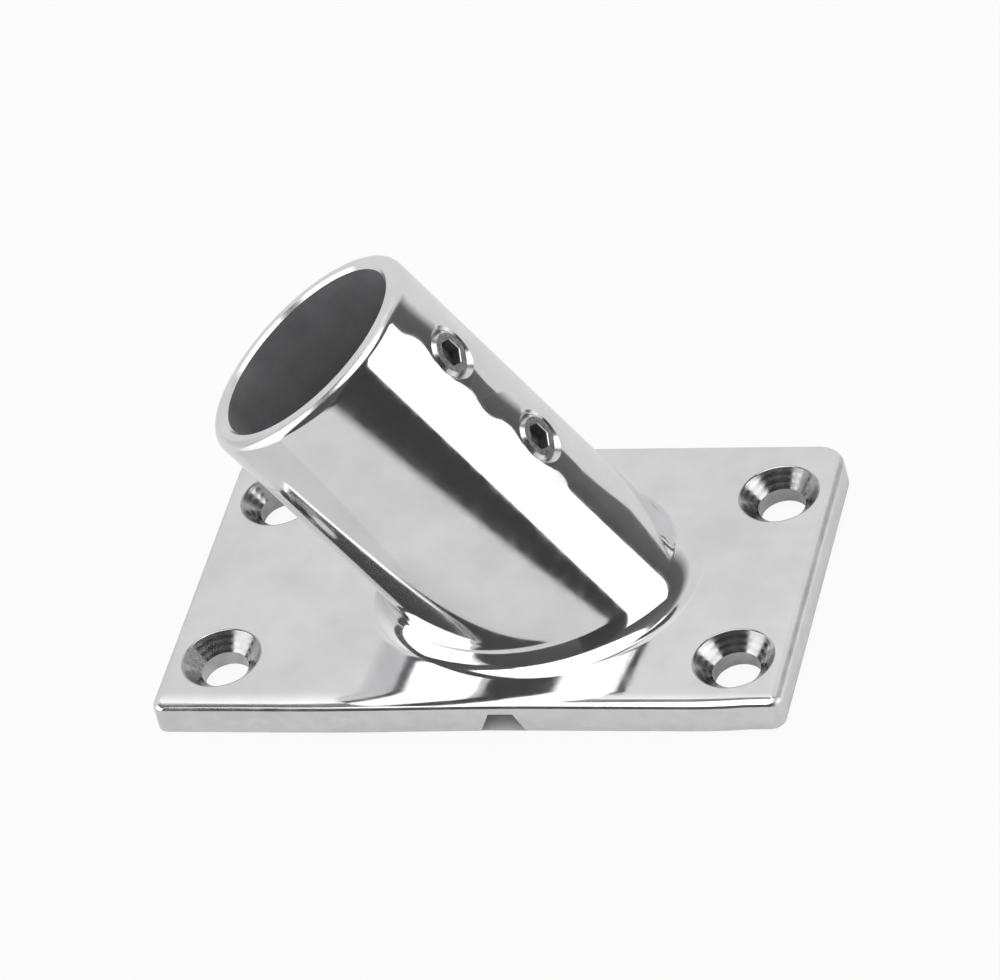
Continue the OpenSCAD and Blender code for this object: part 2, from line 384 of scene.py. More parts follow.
def turn_profile(bm, centre, axis, points, steps):
    """Spins a line of points all the way round an axis, in a bmesh that holds nothing else."""
    verts = [bm.verts.new(point) for point in points]
    edges = [bm.edges.new(pair) for pair in zip(verts, verts[1:])]
    bmesh.ops.spin(bm, geom=verts + edges, cent=centre, axis=axis, dvec=(0, 0, 0),
                   angle=FULL_TURN, steps=steps, use_merge=True)


def paint(items, slot):
    """Gives the faces among some mesh elements a material slot."""
    for item in items:
        if isinstance(item, bmesh.types.BMFace):
            item.material_index = slot


def verts_of(edges):
    """The vertices of some edges, each once."""
    return {vert for edge in edges for vert in edge.verts}


def absorb(bm, part):
    """Adds another bmesh to bm and frees it."""
    carrier = bpy.data.meshes.new("carrier")
    part.to_mesh(carrier)
    part.free()
    bm.from_mesh(carrier)
    bpy.data.meshes.remove(carrier)


def grow_ring(bm, ring, place, slot=POLISHED):
    """Extrudes a ring of edges, puts each new vertex where place says and returns the new ring."""
    made = bmesh.ops.extrude_edge_only(bm, edges=ring)["geom"]
    paint(made, slot)
    verts = {item for item in made if isinstance(item, bmesh.types.BMVert)}
    for vert in verts:
        vert.co = place(vert)
    edges = [item for item in made if isinstance(item, bmesh.types.BMEdge)]
    return [edge for edge in edges if edge.verts[0] in verts and edge.verts[1] in verts]


def open_rims(bm, test):
    """The open edges whose two ends both pass a test."""
    return [edge for edge in bm.edges if edge.is_boundary and all(test(vert) for vert in edge.verts)]


def open_window(bm, faces):
    """Deletes some faces and returns the ring of edges left round them."""
    chosen = set(faces)
    rim = [edge for face in chosen for edge in face.edges
           if sum(linked in chosen for linked in edge.link_faces) == 1]
    bmesh.ops.delete(bm, geom=list(chosen), context="FACES")
    return rim


def arc(centre, radius, start, end, steps):
    """Points of an arc in a plane, from one angle to another."""
    angles = [start + (end - start) * i / steps for i in range(steps + 1)]
    return [(centre[0] + radius * math.cos(a), centre[1] + radius * math.sin(a)) for a in angles]


def add_socket(bm, form, socket, blend, marks):
    """Spins the mouth, then grows the wall, the foot blend and the bore down from it."""
    turn, down = marks["turn"], marks["down"]
    lip = arc((form.radius - socket.mouth_roll, form.wall_top), socket.mouth_roll, QUARTER_TURN, 0,
              socket.lip_rows)
    profile = [(form.bore_radius, form.bore_top), (form.bore_radius + socket.mouth_chamfer, form.mouth)] + lip
    points = [form.place(0, along, radius) for radius, along in profile]
    turn_profile(bm, form.foot, form.axis, points, socket.turns)
    for vert in bm.verts:
        vert[turn] = form.turn_of(vert.co)
        vert[down] = UNMARKED
    middle = (form.bore_radius + form.radius) / 2

    def is_outer(vert):
        """Whether a vertex lies on the outer side of the wall."""
        return (vert.co - form.foot).cross(form.axis).length > middle

    outer = open_rims(bm, is_outer)
    inner = open_rims(bm, lambda vert: not is_outer(vert))
    foot = grow_rows(bm, outer, form.wall_point, socket.wall_rows, marks, WALL_MARK, POLISHED)
    grow_rows(bm, foot, form.blend_point, blend.rows, marks, None, POLISHED)
    grow_rows(bm, inner, form.bore_point, socket.bore_rows, marks, BORE_MARK, CAST)


def grow_rows(bm, ring, place, rows, marks, first_mark, slot):
    """Grows a ring down a surface row by row, marking each row with how far down it lies."""
    turn, down = marks["turn"], marks["down"]
    for row in range(rows + 1):
        if row:
            ring = grow_ring(bm, ring, lambda vert: place(vert[turn], row / rows), slot)
        for vert in verts_of(ring):
            vert[down] = UNMARKED if first_mark is None else first_mark + row / rows
    return ring


def add_screw_hole(bm, form, screws, along, marks):
    """Lays the wall out in rings round one grub screw and takes its hole through to the bore."""
    turn, down, reach, bearing = (marks[name] for name in MARKS)
    nearly = 1e-5
    half_turn = screws.window / form.radius

    def window_in(share_down, first_mark):
        """Opens the faces round the hole in the wall or in the bore."""
        low, high = (first_mark + share_down(along + away) for away in (screws.window, -screws.window))
        return open_window(bm, [
            face for face in bm.faces
            if all(low - nearly <= vert[down] <= high + nearly and abs(vert[turn]) <= half_turn
                   for vert in face.verts)
        ])

    ring = window_in(form.wall_share, WALL_MARK)
    for vert in verts_of(ring):
        rise = (vert.co - form.foot).dot(form.axis) - along
        vert[reach] = math.hypot(vert.co.y, rise)
        vert[bearing] = math.atan2(rise, vert.co.y)

    def towards_hole(vert, inward):
        """A point of the wall between the window's edge and the hole's chamfer."""
        edge = form.chamfer_reach(vert[bearing])
        distance = vert[reach] + (edge - vert[reach]) * inward
        return form.wall_over(distance * math.cos(vert[bearing]), along + distance * math.sin(vert[bearing]))

    for step in range(1, screws.window_rings + 1):
        ring = grow_ring(bm, ring, lambda vert: towards_hole(vert, step / screws.window_rings))

    def hole_point(vert, height):
        """A point of the hole's wall at a height over the socket's axis."""
        return form.about_screw(along, vert[bearing], form.hole_radius, height)

    def on_bore(vert):
        """Where the hole's wall comes out in the bore."""
        across = form.hole_radius * math.cos(vert[bearing])
        return hole_point(vert, math.sqrt(form.bore_radius ** 2 - across ** 2))

    throat = form.crown - form.hole_chamfer
    ring = grow_ring(bm, ring, lambda vert: hole_point(vert, throat), EDGE)
    ring = grow_ring(bm, ring, on_bore, CAST)
    rim = window_in(form.bore_share, BORE_MARK)
    paint(bmesh.ops.bridge_loops(bm, edges=ring + rim)["faces"], CAST)


def run_between(value, start, end):
    """How far a value has come from a start to an end, from 0 to 1."""
    return min(max((value - start) / (end - start), 0.0), 1.0)


def front_grind(plate, along, height):
    """How far hand grinding has taken the plate's front edge back, more at its right end and its top.

    Along runs from -1 at the edge's left end to 1 at its right end.
    """
    slow = run_between(along, -0.55, 0.25)
    last = run_between(along, 0.75, 0.95)
    ground = plate.grind * slow * slow * (3 - 2 * slow) + plate.last_grind * last * last
    return ground + plate.draft * height / plate.thickness


def edge_section(plate, width, roll, done):
    """How far in and how high the plate's edge lies, from 0 at its side over 1 at the roll's end to 2."""
    roll_inset = roll * (1 - math.sin(plate.soft_slope))
    run = width - roll_inset
    fall = math.tan(plate.soft_slope) * run / plate.soft_power
    if done > 1:
        return roll_inset + run * (done - 1), plate.thickness - fall * (2 - done) ** plate.soft_power
    around = math.pi - (QUARTER_TURN - plate.soft_slope) * done
    low = plate.thickness - fall - roll * math.cos(plate.soft_slope)
    return roll * (1 + math.cos(around)), low + roll * math.sin(around)


def add_plate(bm, plate):
    """Lays out the plate's rounded outline and grows it up to the soft edge of the top."""
    half = (Vector(CASTING_BOX[1]) - Vector(CASTING_BOX[0])) / 2
    part = bmesh.new()
    made = bmesh.ops.create_grid(part, x_segments=1, y_segments=1, size=0.5)["verts"]
    bmesh.ops.scale(part, vec=(2 * half.x, 2 * half.y, 1), verts=made)
    bmesh.ops.bevel(part, geom=made, offset=plate.back_corner, offset_type="OFFSET", affect="VERTICES",
                    segments=plate.corner_steps, profile=0.5, material=-1)
    bmesh.ops.delete(part, geom=part.faces[:], context="FACES_ONLY")
    front = [edge for edge in part.edges if edge.calc_length() > half.x and edge.verts[0].co.y < 0]
    bmesh.ops.subdivide_edges(part, edges=front, cuts=plate.front_cuts)
    ring = part.edges[:]

    spot = part.verts.layers.float_vector.new("spot")
    for vert in part.verts:
        reach = half.x - plate.back_corner
        along = min(max(vert.co.x / reach, -1.0), 1.0)
        side = math.copysign(1.0, vert.co.y)
        heading = math.atan2(vert.co.y - side * (half.y - plate.back_corner), vert.co.x - along * reach)
        vert[spot] = (along, side, heading)

    def inset(vert, from_end, from_side, height, fade=1.0):
        """Puts a point of the outline in from the plate's end and side, where its corner is tighter."""
        along, side, heading = vert[spot]
        corner = plate.back_corner if side > 0 else plate.front_corner
        radius = max(corner - from_side, corner * plate.least_corner)
        grind = front_grind(plate, along, height) * fade if side < 0 else 0.0
        return Vector((along * (half.x - from_end - radius) + math.cos(heading) * radius,
                       side * (half.y - from_side - radius) + math.sin(heading) * radius + grind, height))

    def edge_point(vert, done):
        """A point of the roll and the soft top, which is narrower at the plate's ends."""
        from_end, end_height = edge_section(plate, plate.end_width, plate.end_roll, done)
        from_side, side_height = edge_section(plate, plate.soft_width, plate.side_roll, done)
        height = end_height + (side_height - end_height) * math.sin(vert[spot].z) ** 2
        return inset(vert, from_end, from_side, height, 1 - from_side / plate.soft_width)

    for vert in part.verts:
        vert.co = inset(vert, plate.lower_break, plate.lower_break, 0)
    ring = grow_ring(part, ring, lambda vert: inset(vert, 0, 0, plate.lower_break), EDGE)
    for step in range(plate.roll_steps + 1):
        ring = grow_ring(part, ring, lambda vert: edge_point(vert, step / plate.roll_steps), EDGE)
    for step in range(1, plate.soft_steps + 1):
        ring = grow_ring(part, ring, lambda vert: edge_point(vert, 1 + step / plate.soft_steps))
    part.verts.layers.float_vector.remove(part.verts.layers.float_vector["spot"])
    absorb(bm, part)


def add_countersinks(bm, plate):
    """Spins one countersunk hole in each corner of the plate."""
    pattern = MOUNTS["plate_screws"]["dims"]
    shank = pattern["hole_r_mm"] * MM
    top = plate.sink_diameter / 2
    slope = math.pi / 4
    roll = plate.sink_rim * math.tan(slope / 2)
    cone_depth = top - shank
    rim = arc((top + roll, plate.thickness - plate.sink_rim), plate.sink_rim, QUARTER_TURN,
              QUARTER_TURN + slope, plate.rim_steps)
    profile = rim + [(shank, plate.thickness - cone_depth), (shank, 0)]
    corner = (pattern["spacing_x_mm"], pattern["spacing_y_mm"])
    for side_x in (-1, 1):
        for side_y in (-1, 1):
            centre = Vector((side_x * corner[0], side_y * corner[1], 0)) * (MM / 2)
            part = bmesh.new()
            points = [centre + Vector((radius, 0, height)) for radius, height in profile]
            turn_profile(part, centre, (0, 0, 1), points, plate.hole_steps)
            paint(part.faces, TURNED)
            absorb(bm, part)


def fill_level(bm, height, slot):
    """Closes the flat face at one height, round the holes in it.

    The fill takes points nearer than 0.03 units as one, so it is done a thousand times larger.
    """
    flat = 1e-6
    rim = open_rims(bm, lambda vert: abs(vert.co.z - height) < flat)
    verts = list(verts_of(rim))
    bmesh.ops.scale(bm, vec=(1 / MM, 1 / MM, 1), verts=verts)
    made = bmesh.ops.triangle_fill(bm, edges=rim, use_beauty=True, use_dissolve=False, normal=(0, 0, 1))
    bmesh.ops.scale(bm, vec=(MM, MM, 1), verts=verts)
    paint(made["geom"], slot)


def cut_drain(piece, drain):
    """Cuts the drain groove across the casting's underside."""
    over = 1 * MM
    reach = CASTING_BOX[1][1] + over
    spread = drain.roof + (drain.width - drain.roof) * (drain.height + over) / drain.height
    bm = bmesh.new()
    corners = [(-spread / 2, -over), (spread / 2, -over), (drain.roof / 2, drain.height),
               (-drain.roof / 2, drain.height)]
    face = bm.faces.new([bm.verts.new((drain.place + x, -reach, z)) for x, z in corners])
    made = bmesh.ops.extrude_face_region(bm, geom=[face])["geom"]
    bmesh.ops.translate(bm, vec=(0, 2 * reach, 0),
                        verts=[item for item in made if isinstance(item, bmesh.types.BMVert)])
    bmesh.ops.recalc_face_normals(bm, faces=bm.faces[:])
    paint(bm.faces, CAST)
    cutter = new_piece("drain_cutter", bm, piece.data.materials)
    cut = piece.modifiers.new("Drain groove", "BOOLEAN")
    cut.operation = "DIFFERENCE"
    cut.solver = "EXACT"
    cut.object = cutter
    bake_modifiers(piece)
    bpy.data.objects.remove(cutter)


def bake_modifiers(piece):
    """Applies a piece's modifiers to its mesh."""
    graph = bpy.context.evaluated_depsgraph_get()
    before = piece.data
    piece.data = bpy.data.meshes.new_from_object(piece.evaluated_get(graph))
    piece.modifiers.clear()
    bpy.data.meshes.remove(before)


def smooth_between_edges(piece, sharp_angle):
    """Shades a piece smooth up to the edges that are sharper than an angle."""
    bm = bmesh.new()
    bm.from_mesh(piece.data)
    for face in bm.faces:
        face.smooth = True
    for edge in bm.edges:
        edge.smooth = edge.calc_face_angle(0) < sharp_angle
    if any(not edge.is_manifold for edge in bm.edges):
        raise RuntimeError(f"{piece.name} isn't closed")
    bm.to_mesh(piece.data)
    bm.free()
    even = piece.modifiers.new("Even shading", "WEIGHTED_NORMAL")
    even.mode = "FACE_AREA"
    even.weight = 50
    even.keep_sharp = True


class Finish:
    """A material in the making: its Principled shader, and a short way to add nodes to it."""

    def __init__(self, name, **sockets):
        self.material = bpy.data.materials.new(name)
        self.material.use_nodes = True
        self.tree = self.material.node_tree
        self.shader = self.tree.nodes["Principled BSDF"]
        for socket, value in sockets.items():
            self.shader.inputs[socket.replace("_", " ")].default_value = value

    def add(self, kind, sockets=None, **settings):
        """Adds a node, sets it up and links or fills its sockets."""
        node = self.tree.nodes.new(kind)
        for name, value in settings.items():
            setattr(node, name, value)
        for name, value in (sockets or {}).items():
            if isinstance(value, bpy.types.NodeSocket):
                self.tree.links.new(value, node.inputs[name])
            else:
                node.inputs[name].default_value = value
        return node

    def link(self, value, socket):
        """Feeds a node's output into the shader."""
        self.tree.links.new(value, self.shader.inputs[socket])

    @property
    def place(self):
        """Places on the piece, which is made in its place in the frame: its Object coordinates."""
        nodes = self.tree.nodes
        node = nodes.get("Texture Coordinate") or nodes.new("ShaderNodeTexCoord")
        return node.outputs["Object"]

    def maths(self, operation, first, second):
        """A number worked out from two others."""
        return self.add("ShaderNodeMath", {0: first, 1: second}, operation=operation).outputs[0]

    def noise(self, scale, detail, stretch=(1, 1, 1)):
        """Noise over the piece, with its grain stretched along the axes that have a small factor."""
        mapping = self.add("ShaderNodeMapping", {"Vector": self.place, "Scale": stretch})
        return self.add("ShaderNodeTexNoise", {
            "Vector": mapping.outputs["Vector"], "Scale": scale, "Detail": detail,
        }).outputs["Fac"]

    def spread(self, value, low, high):
        """Spreads noise, most of which lies between 0.3 and 0.7, over another range."""
        return self.add("ShaderNodeMapRange", {
            "Value": value, "From Min": 0.3, "From Max": 0.7, "To Min": low, "To Max": high,
        }).outputs["Result"]

    def tinted(self, base, value, low, high):
        """Varies the brightness of a colour over the piece.

        A Mix node has sockets of one name for each kind of data, so those for colours go by their number.
        """
        first, second, result = 6, 7, 2
        return self.add("ShaderNodeMix", {
            "Factor": 1.0, first: (*base, 1.0), second: self.spread(value, low, high),
        }, data_type="RGBA", blend_type="MULTIPLY").outputs[result]

    def bump(self, height, distance, below=None):
        """A bump of a real height, over another bump if there is one."""
        sockets = {"Height": height, "Distance": distance, "Strength": 1.0}
        if below is not None:
            sockets["Normal"] = below
        return self.add("ShaderNodeBump", sockets).outputs["Normal"]

    def satin(self, value, start, end, most):
        """Roughness that grows from none to most as a length grows from start to end."""
        return self.add("ShaderNodeMapRange", {
            "Value": value, "From Min": start, "From Max": end, "To Min": 0.0, "To Max": most,
        }, interpolation_type="SMOOTHSTEP").outputs["Result"]

    def surface(self, base, cloud, shades, grain, roughness, relief):
        """Varies the colour by one pattern, and the roughness and the height by another."""
        self.link(self.tinted(base, cloud, *shades), "Base Color")
        self.link(self.spread(grain, *roughness), "Roughness")
        self.link(self.bump(grain, relief), "Normal")
        return self.material

    def from_middle(self, place, middle):
        """How far places lie from a middle, along the three axes."""
        return self.add("ShaderNodeVectorMath", {0: place, 1: middle}, operation="SUBTRACT").outputs[0]

    def unsigned(self, place):
        """Places folded over the three middle planes into one eighth of the space."""
        return self.add("ShaderNodeVectorMath", {0: place}, operation="ABSOLUTE").outputs[0]

    def along_axes(self, place):
        """The three outputs X, Y and Z of some places."""
        return self.add("ShaderNodeSeparateXYZ", {"Vector": place}).outputs


def polished_steel(finish, form):
    """Mirror polish with the low waves and the haze that the hand leaves, and a satin lip at the mouth."""
    steel = Finish("polished_steel", Metallic=1.0)
    waves = steel.noise(scale=1 / finish.wave_length, detail=1)
    ripples = steel.noise(scale=4 / finish.wave_length, detail=1)
    haze = steel.noise(scale=600, detail=3)
    cloud = steel.noise(scale=170, detail=5)
    steel.link(steel.tinted(finish.steel, cloud, low=0.94, high=1.05), "Base Color")
    along = steel.add("ShaderNodeVectorMath", {0: steel.place, 1: form.axis}, operation="DOT_PRODUCT")
    mouth = form.axis.dot(form.foot) + form.mouth
    lip = steel.satin(along.outputs["Value"], start=mouth - 0.9 * MM, end=mouth - 0.3 * MM,
                      most=finish.lip_satin)
    shine = steel.spread(haze, low=finish.polish, high=finish.polish + finish.haze)
    steel.link(steel.maths("ADD", shine, lip), "Roughness")
    low = steel.bump(waves, finish.wave)
    steel.link(steel.bump(ripples, finish.wave / 8, low), "Normal")
    return steel.material


def edge_steel(finish):
    """The plate's sides: polished less, so softer, with satin ends and faint lines along the edge."""
    steel = Finish("edge_steel", Metallic=1.0)
    mottle = steel.noise(scale=500, detail=3, stretch=(1, 1, 1.5))
    steel.link(steel.tinted(finish.steel, mottle, low=0.9, high=1.0), "Base Color")
    out = steel.along_axes(steel.unsigned(steel.place))["X"]
    end = CASTING_BOX[1][0]
    ends = steel.satin(out, start=end - 1.3 * MM, end=end - 0.5 * MM, most=finish.end_satin)
    shine = steel.spread(mottle, low=0.14, high=0.24)
    steel.link(steel.maths("ADD", shine, ends), "Roughness")
    steel.link(steel.bump(mottle, finish.wave / 10), "Normal")
    return steel.material


def turned_steel(finish):
    """The countersinks: turned, with fine rings round each hole, their steel darkened as a painted shade."""
    steel = Finish("turned_steel", Metallic=1.0)
    pattern = MOUNTS["plate_screws"]["dims"]
    middle = (pattern["spacing_x_mm"] * MM / 2, pattern["spacing_y_mm"] * MM / 2, 0)
    centred = steel.from_middle(steel.unsigned(steel.place), middle)
    rings = steel.add("ShaderNodeTexWave", {
        "Vector": centred, "Scale": 500.0, "Distortion": 0.4, "Detail": 1.0,
    }, wave_type="RINGS", rings_direction="Z").outputs["Fac"]
    stain = steel.noise(scale=400, detail=2)
    # Painted shade: the countersinks' steel is darkened below the polished steel's colour
    shaded_countersink_steel = tuple(channel * finish.turned for channel in finish.steel)
    return steel.surface(shaded_countersink_steel, stain, shades=(0.75, 1.1), grain=rings, roughness=(0.14, 0.24),
                         relief=0.004 * MM)


def cast_skin(finish):
    """The bore: the dark, dull skin that the casting left."""
    skin = Finish("cast_skin", Metallic=0.4)
    grain = skin.noise(scale=1500, detail=4)
    cloud = skin.noise(scale=180, detail=3)
    return skin.surface(finish.cast, cloud, shades=(0.85, 1.2), grain=grain, roughness=(0.5, 0.7),
                        relief=0.03 * MM)


def ground_steel(finish):
    """The underside: ground flat along the plate's length."""
    steel = Finish("ground_steel", Metallic=1.0)
    lines = steel.noise(scale=2500, detail=3, stretch=(0.02, 1, 1))
    return steel.surface(finish.steel, lines, shades=(0.7, 0.9), grain=lines, roughness=(0.25, 0.4),
                         relief=0.006 * MM)


def hexagon_shade(finish):
    """The hexagon sockets: dull, with a dark colour that is painted shade, mottled at random."""
    shade = Finish("hexagon_shade", Metallic=0.6)
    hexagon_mottle = shade.noise(scale=1200, detail=3)
    # The dark base colour is painted shade down in the socket
    return shade.surface(finish.hexagon, hexagon_mottle, shades=(0.6, 1.3), grain=hexagon_mottle, roughness=(0.35, 0.55),
                         relief=0.01 * MM)


def screw_steel(finish):
    """The grub screws: bright, with a fine turned grain."""
    steel = Finish("screw_steel", Metallic=1.0)
    grain = steel.noise(scale=1800, detail=3)
    return steel.surface(finish.screw, grain, shades=(0.85, 1.05), grain=grain, roughness=(0.16, 0.28),
                         relief=0.003 * MM)


class RAILBASE_OT_casting(bpy.types.Operator):
    """Model the casting: plate, leaning socket, foot blend, holes and drain groove"""
    bl_idname = "railbase.casting"
    bl_label = "Casting"

    def execute(self, context):
        settings = context.scene.rail_base
        form = SocketForm(settings)
        bm = bmesh.new()
        layers = bm.verts.layers.float
        for name in MARKS:
            layers.new(name)
        # A new layer moves the others, so they are only fetched once all are there
        marks = {name: layers[name] for name in MARKS}
        add_socket(bm, form, settings.socket, settings.blend, marks)
        for along in form.screw_places:
            add_screw_hole(bm, form, settings.screws, along, marks)
        for name in MARKS:
            layers.remove(layers[name])
        add_plate(bm, settings.plate)
        add_countersinks(bm, settings.plate)
        fill_level(bm, settings.plate.thickness, POLISHED)
        fill_level(bm, 0, UNDERSIDE)
        bmesh.ops.recalc_face_normals(bm, faces=bm.faces[:])
        finish = settings.finish
        casting = new_piece("polished_casting", bm, [
            polished_steel(finish, form), edge_steel(finish), turned_steel(finish), cast_skin(finish),
            ground_steel(finish),
        ])
        cut_drain(casting, settings.drain)
        smooth_between_edges(casting, SHARP_CASTING)
        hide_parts("flange_casting")
        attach(casting, "root")
        return {"FINISHED"}


def hexagon_reach(bearing, flats):
    """Distance from a hexagon's middle to its side, with a corner at bearing zero."""
    sixth = math.pi / 3
    return flats / 2 / math.cos(bearing % sixth - sixth / 2)


def grub_screw(name, form, screws, along, materials):
    """Models one grub screw in its hole: cup point, chamfers and hexagon socket."""
    bm = bmesh.new()
    radius = screws.diameter / 2
    tip = form.bore_radius + screws.tip_gap
    face = tip + screws.length
    lead = 0.12 * MM
    pole = 0.03 * MM
    drill_radius = screws.hexagon * 0.45
    drill_point = 0.3 * MM
    land = screws.hexagon / 2 / math.cos(math.pi / 6) + 2 * lead
    profile = [
        (pole, tip + screws.cup_depth), (screws.cup_radius, tip),
        (radius - screws.chamfer, tip), (radius, tip + screws.chamfer), (radius, face - screws.chamfer),
        (radius - screws.chamfer, face), (land, face),
    ]
    points = [form.about_screw(along, QUARTER_TURN, reach, height) for reach, height in profile]
    centre = form.foot + form.axis * along
    turn_profile(bm, centre, form.upper, points, screws.steps)

    def bearing(vert):
        """Direction of a vertex about the screw's axis, from the socket's axis round."""
        side = vert.co - centre
        return math.atan2(side.dot(form.across), side.dot(form.axis))

    def hexagon(vert, flats, height):
        """A point of the hexagon socket, in the direction of the vertex that it grows from."""
        around = bearing(vert)
        return form.about_screw(along, QUARTER_TURN - around, hexagon_reach(around, flats), height)

    def circle(vert, reach, height):
        """A point of the drilled bottom of the socket."""
        return form.about_screw(along, QUARTER_TURN - bearing(vert), reach, height)

    paint(bm.faces, BRIGHT)
    floor = face - screws.hexagon_depth
    ring = open_rims(bm, lambda vert: (vert.co - centre).dot(form.upper) > (tip + face) / 2)
    ring = grow_ring(bm, ring, lambda vert: hexagon(vert, screws.hexagon + lead, face), BRIGHT)
    ring = grow_ring(bm, ring, lambda vert: hexagon(vert, screws.hexagon, face - lead), BRIGHT)
    ring = grow_ring(bm, ring, lambda vert: hexagon(vert, screws.hexagon, floor), HEXAGON)
    ring = grow_ring(bm, ring, lambda vert: circle(vert, drill_radius, floor), HEXAGON)
    grow_ring(bm, ring, lambda vert: circle(vert, pole, floor - drill_point), HEXAGON)
    bmesh.ops.triangle_fill(bm, edges=[edge for edge in bm.edges if edge.is_boundary],
                            use_beauty=True, use_dissolve=False)
    bmesh.ops.recalc_face_normals(bm, faces=bm.faces[:])
    piece = new_piece(name, bm, materials)
    smooth_between_edges(piece, SHARP_SCREW)
    return piece


class RAILBASE_OT_grub_screws(bpy.types.Operator):
    """Model the two grub screws that hold the tube"""
    bl_idname = "railbase.grub_screws"
    bl_label = "Grub screws"

    def execute(self, context):
        settings = context.scene.rail_base
        form = SocketForm(settings)
        materials = [screw_steel(settings.finish), hexagon_shade(settings.finish)]
        places = {"lower": settings.screws.lower_along, "upper": settings.screws.upper_along}
        for end, along in places.items():
            piece = grub_screw(f"{end}_screw_turned", form, settings.screws, along, materials)
            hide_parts(f"{end}_grub_screw")
            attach(piece, "root")
        return {"FINISHED"}


# Cards that the polish shows. Each has its distance in metres and four corners, from the lower left round
# to the upper left as seen from the object: azimuth from +Y towards +X and elevation in degrees, and level.
CARDS = {
    "right_softbox": (0.50, (67, -14, 2.0), (110, -14, 2.0), (112, 41, 2.0), (65, 41, 2.0)),
    "right_slot": (0.52, (47, -14, 0.14), (68, -14, 0.08), (68, 62, 0.11), (38, 62, 0.14)),
    "right_slot_edge": (0.53, (33, -14, 0.8), (47, -14, 0.14), (38, 62, 0.14), (22, 62, 0.8)),
    "right_softbox_top": (0.51, (44, 40, 0.12), (118, 40, 0.08), (130, 62, 0.12), (30, 70, 0.2)),
    "front_dark_right": (0.55, (109, -2, 0.05), (150, -2, 0.06), (150, 62, 0.07), (111, 62, 0.06)),
    "front_dark_middle": (0.55, (150, -2, 0.13), (182, -2, 0.10), (182, 62, 0.10), (150, 62, 0.09)),
    "front_dark_left": (0.55, (182, -2, 0.10), (214, -2, 0.07), (217, 60, 0.07), (182, 62, 0.10)),
    "left_softbox": (0.50, (-148, -14, 2.0), (-96, -14, 2.0), (-91, 47, 2.0), (-137, 47, 2.0)),
    "left_softbox_edge": (0.51, (-97, -14, 0.12), (-93, -14, 0.12), (-76, 48, 0.12), (-94, 48, 0.12)),
    "left_softbox_top": (0.51, (-150, 46, 0.1), (-76, 46, 0.06), (-60, 64, 0.12), (-150, 64, 0.1)),
    "left_panel": (0.55, (-94, -8, 0.55), (-55, -8, 0.5), (-55, 45, 0.85), (-80, 50, 1.25)),
    "back_glow": (0.57, (-50, 42, 0.8), (-8, 42, 0.8), (-6, 60, 1.0), (-52, 60, 1.4)),
    "back_slot": (0.56, (-2, 57, 0.08), (22, 57, 0.08), (24, 71, 0.08), (4, 71, 0.08)),
    "overhead_frame": (0.58, (-76, 59, 0.2), (-5, 59, 0.3), (-5, 67, 0.3), (-76, 67, 0.2)),
    "overhead_softbox": (0.60, (-180, 62, 2.0), (180, 62, 2.0), (180, 90, 2.0), (-180, 90, 2.0)),
}

# The same for the cards just over the floor, whose corners have a distance in place of an elevation.
FLOOR_ELEVATION = 0.1
FLOOR_CARDS = {
    "floor_right": ((65, 0.05, 1.2), (109, 0.05, 1.2), (109, 0.50, 1.2), (65, 0.50, 1.2)),
    "floor_left": ((-148, 0.12, 1.2), (-97, 0.12, 1.2), (-97, 0.50, 1.2), (-148, 0.50, 1.2)),
    "floor_slot": ((42, 0.085, 0.16), (68, 0.085, 0.1), (68, 0.50, 0.1), (42, 0.50, 0.16)),
    "floor_left_near": ((-150, 0.03, 0.7), (-97, 0.03, 0.7), (-97, 0.12, 0.7), (-150, 0.12, 0.7)),
    "floor_front_edge": ((110, 0.24, 0.7), (212, 0.24, 0.7), (212, 0.36, 0.07), (110, 0.36, 0.07)),
    "floor_front": ((110, 0.36, 0.07), (212, 0.36, 0.07), (212, 0.60, 0.07), (110, 0.60, 0.07)),
}


def direction(azimuth, elevation):
    """Unit vector for an azimuth from +Y towards +X and an elevation, in degrees."""
    a, e = math.radians(azimuth), math.radians(elevation)
    return Vector((math.sin(a) * math.cos(e), math.cos(a) * math.cos(e), math.sin(e)))


def card_glow():
    """Plain light at the level that each card carries, which isn't sampled as a lamp."""
    card = Finish("card_glow")
    level = card.add("ShaderNodeAttribute", attribute_name="level").outputs["Fac"]
    glow = card.add("ShaderNodeEmission", {"Strength": level})
    card.tree.links.new(glow.outputs["Emission"], card.tree.nodes["Material Output"].inputs["Surface"])
    card.material.cycles.emission_sampling = "NONE"
    return card.material


def add_card(name, corners, material):
    """A curved card that only the polish sees, spread between four corners."""
    bm = bmesh.new()
    level = bm.verts.layers.float.new("level")
    bmesh.ops.create_grid(bm, x_segments=24, y_segments=12, size=0.5)
    low_left, low_right, high_right, high_left = (Vector(corner) for corner in corners)
    for vert in bm.verts:
        across, up = vert.co.x + 0.5, vert.co.y + 0.5
        low = low_left.lerp(low_right, across)
        azimuth, elevation, distance, glow = low.lerp(high_left.lerp(high_right, across), up)
        vert.co = direction(azimuth, elevation) * distance
        vert[level] = glow
    card = new_piece(name, bm, [material])
    card.visible_camera = False
    card.visible_diffuse = False
    card.visible_shadow = False


def open_floor(paper, studio, drain, plate):
    """Share of plain white that the camera sees in the floor: none in the shade of the drain groove."""
    away = paper.along_axes(paper.unsigned(paper.from_middle(paper.place, (drain.place, 0, 0))))
    beside = paper.maths("GREATER_THAN", away["X"], drain.width / 2)
    beyond = paper.maths("GREATER_THAN", away["Y"], CASTING_BOX[1][1] - plate.grind - plate.lower_break)
    return paper.maths("MULTIPLY", paper.maths("MAXIMUM", beside, beyond), studio.floor_white)


